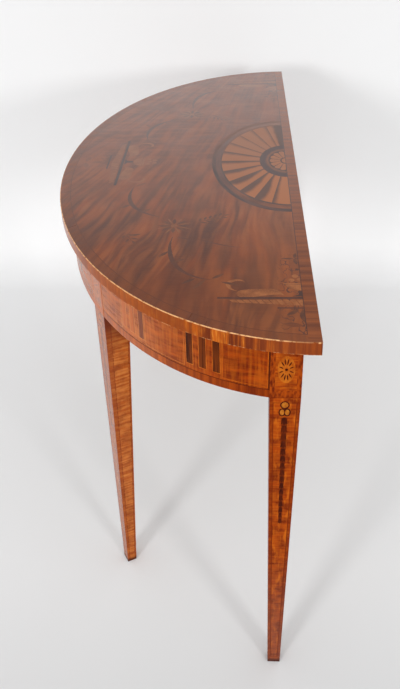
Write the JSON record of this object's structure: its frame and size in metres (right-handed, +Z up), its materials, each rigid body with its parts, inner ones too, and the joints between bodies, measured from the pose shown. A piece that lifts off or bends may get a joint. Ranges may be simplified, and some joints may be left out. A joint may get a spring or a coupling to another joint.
{
  "type": "demilune side table",
  "caption": "Half-elliptical side table with a marquetry fan top, a curved inlaid frieze and square tapered inlaid legs; stands with its straight back to a wall.",
  "frame": {"origin": "floor level, below the middle of the bounding box", "axes": "+Z up, +X along the straight back edge towards the right-hand end, +Y out of the straight back towards the wall"},
  "size_m": [1.5, 0.5199, 0.816],
  "materials": {
    "mahogany_field": "polished figured veneer",
    "mahogany_crossband": "polished cross-grain veneer",
    "satinwood": "polished cross-figured veneer",
    "shaded_satinwood": "polished sand-shaded veneer",
    "golden_boxwood": "polished",
    "pale_boxwood": "polished",
    "stained_holly": "polished",
    "dark_wood": "polished",
    "pine": "bare planed secondary wood",
    "screw_steel": "dull"
  },
  "bodies": {
    "root": {"acanthus_leaf_inlays": "stained_holly", "back_corner_blocks": "pine", "back_left_leg": "satinwood", "back_left_leg_husks": "dark_wood", "back_left_leg_patera": "golden_boxwood", "back_left_leg_stringing": "dark_wood", "back_left_leg_trefoil": "pale_boxwood", "back_rail": "pine", "back_right_leg": "satinwood", "back_right_leg_husks": "dark_wood", "back_right_leg_patera": "golden_boxwood", "back_right_leg_stringing": "dark_wood", "back_right_leg_trefoil": "pale_boxwood", "back_top_board": "pine", "centre_brace": "pine", "centre_frieze_bricks": "pine", "centre_frieze_crossband": "mahogany_crossband", "centre_frieze_veneer": "satinwood", "fan_border": "mahogany_crossband", "fan_centre_rays": "shaded_satinwood", "fan_ground": "dark_wood", "fan_inner_ring": "dark_wood", "fan_wedges": "shaded_satinwood", "flower_highlight_inlays": "pale_boxwood", "flower_petal_inlays": "stained_holly", "frieze_flutes": "dark_wood", "frieze_lower_string": "dark_wood", "frieze_stringing": "pale_boxwood", "front_left_leg": "satinwood", "front_left_leg_husks": "dark_wood", "front_left_leg_patera": "golden_boxwood", "front_left_leg_stringing": "dark_wood", "front_left_leg_trefoil": "pale_boxwood", "front_right_leg": "satinwood", "front_right_leg_husks": "dark_wood", "front_right_leg_patera": "golden_boxwood", "front_right_leg_stringing": "dark_wood", "front_right_leg_trefoil": "pale_boxwood", "front_top_board": "pine", "left_frieze_bricks": "pine", "left_frieze_crossband": "mahogany_crossband", "left_frieze_veneer": "satinwood", "leg_block_crossbands": "mahogany_crossband", "middle_top_board": "pine", "plinth_bar_inlays": "dark_wood", "right_frieze_bricks": "pine", "right_frieze_crossband": "mahogany_crossband", "right_frieze_veneer": "satinwood", "rope_twist_inlays": "pale_boxwood", "scroll_inlays": "dark_wood", "tazza_inlays": "pale_boxwood", "top_back_crossband": "mahogany_crossband", "top_edge_banding": "mahogany_crossband", "top_field_veneer": "mahogany_field", "top_fixing_screws": "screw_steel", "top_glue_blocks": "pine", "top_rim_crossband": "mahogany_crossband", "top_stringing": "dark_wood", "wheat_ear_inlays": "stained_holly"}
  },
  "joints": []
}
